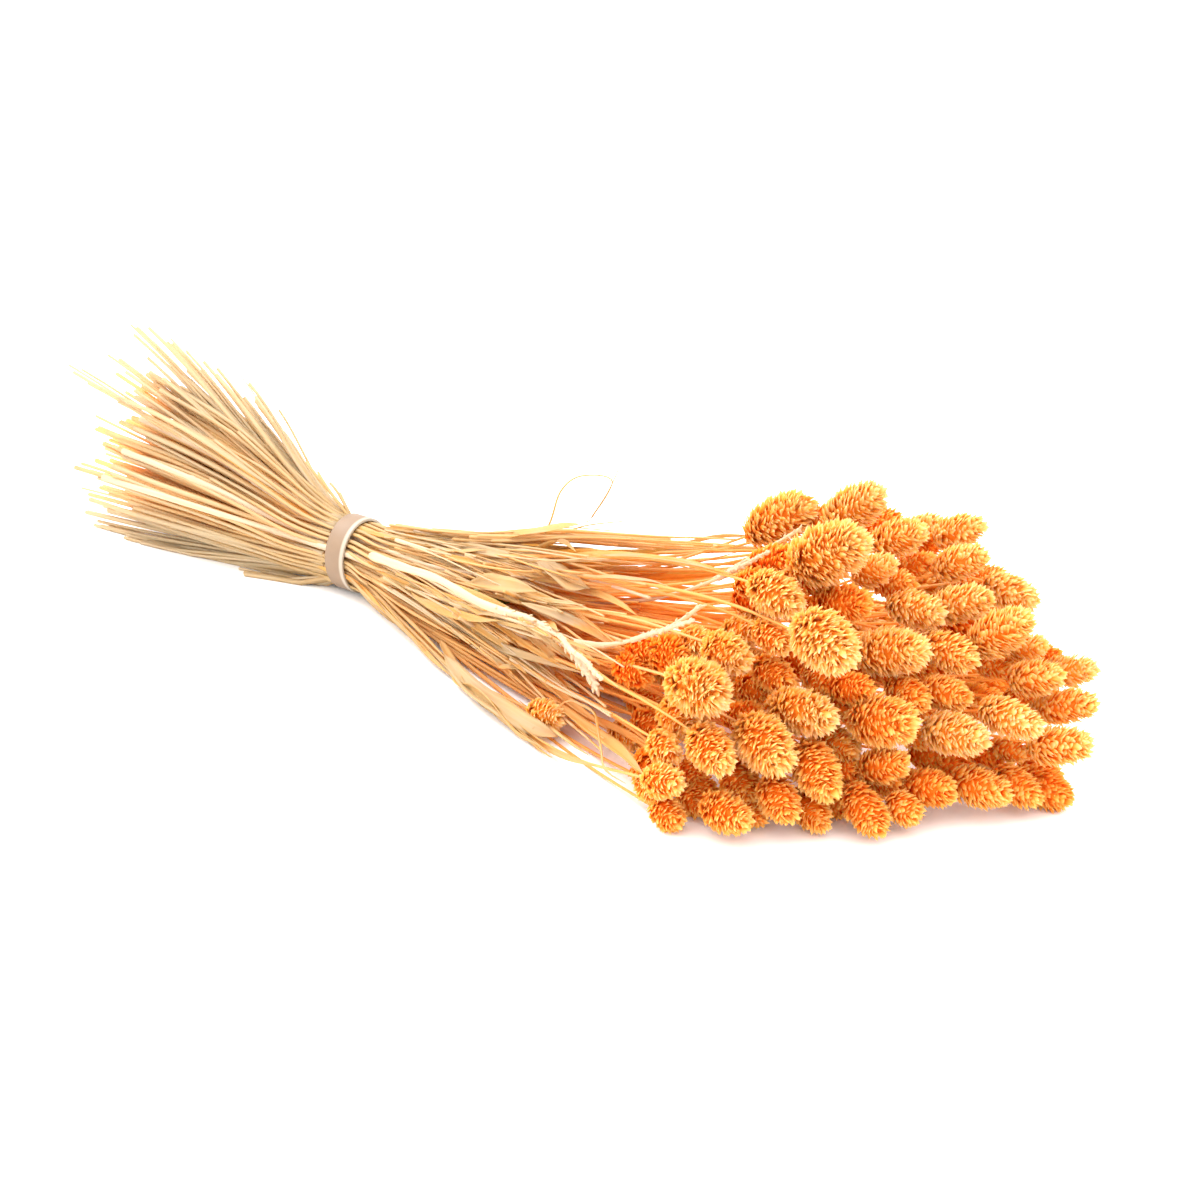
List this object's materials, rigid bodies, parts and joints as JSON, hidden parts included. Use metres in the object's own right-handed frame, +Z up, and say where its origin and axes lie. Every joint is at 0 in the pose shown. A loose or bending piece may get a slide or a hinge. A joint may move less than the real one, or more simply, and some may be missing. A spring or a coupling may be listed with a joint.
{
  "type": "bunch of dried phalaris grass",
  "caption": "Tied bunch of dried, orange-dyed canary grass lying on its side: straw stems held by one flat elastic band, soft scaly oval heads fanned out at one end.",
  "frame": {"origin": "middle of the bottom of the whole bunch, on the surface it lies on", "axes": "+X along the bunch from the cut ends to the heads, +Y to its far side in the picture, +Z up"},
  "size_m": [0.4884, 0.1924, 0.0917],
  "materials": {
    "dried_grass": "dry and fluffy, matt; pale orange scale tips over deep orange hollows",
    "dried_straw": "dry straw, faintly glossy along its fibres",
    "band_rubber": "matt, slightly dusty, pale at the cut edge"
  },
  "bodies": {
    "root": {"band": "band_rubber", "stems_01": "dried_grass", "stems_02": "dried_grass", "stems_03": "dried_grass", "stems_04": "dried_grass", "stems_05": "dried_grass", "stems_06": "dried_grass", "stems_07": "dried_grass", "stems_08": "dried_grass", "stems_09": "dried_grass", "stems_10": "dried_grass", "stems_11": "dried_grass", "stems_12": "dried_grass", "stems_13": "dried_grass", "stems_14": "dried_grass", "stems_15": "dried_grass", "stems_16": "dried_grass", "stems_17": "dried_grass", "stems_18": "dried_grass", "stems_19": "dried_grass", "stems_20": "dried_grass", "stems_21": "dried_grass", "stems_22": "dried_grass", "stems_23": "dried_grass", "stems_24": "dried_grass", "stems_25": "dried_grass", "stems_26": "dried_grass", "stems_27": "dried_grass", "stems_28": "dried_grass", "stems_29": "dried_grass", "stems_30": "dried_grass", "stems_31": "dried_grass", "stems_32": "dried_grass", "stems_33": "dried_grass", "stems_34": "dried_grass", "stems_35": "dried_grass", "stems_36": "dried_grass", "stems_37": "dried_grass", "stems_38": "dried_grass", "stems_39": "dried_grass", "stems_40": "dried_grass", "stems_41": "dried_grass", "stems_42": "dried_grass", "stems_43": "dried_grass", "stems_44": "dried_grass", "stems_45": "dried_grass", "stems_46": "dried_grass"}
  },
  "joints": []
}
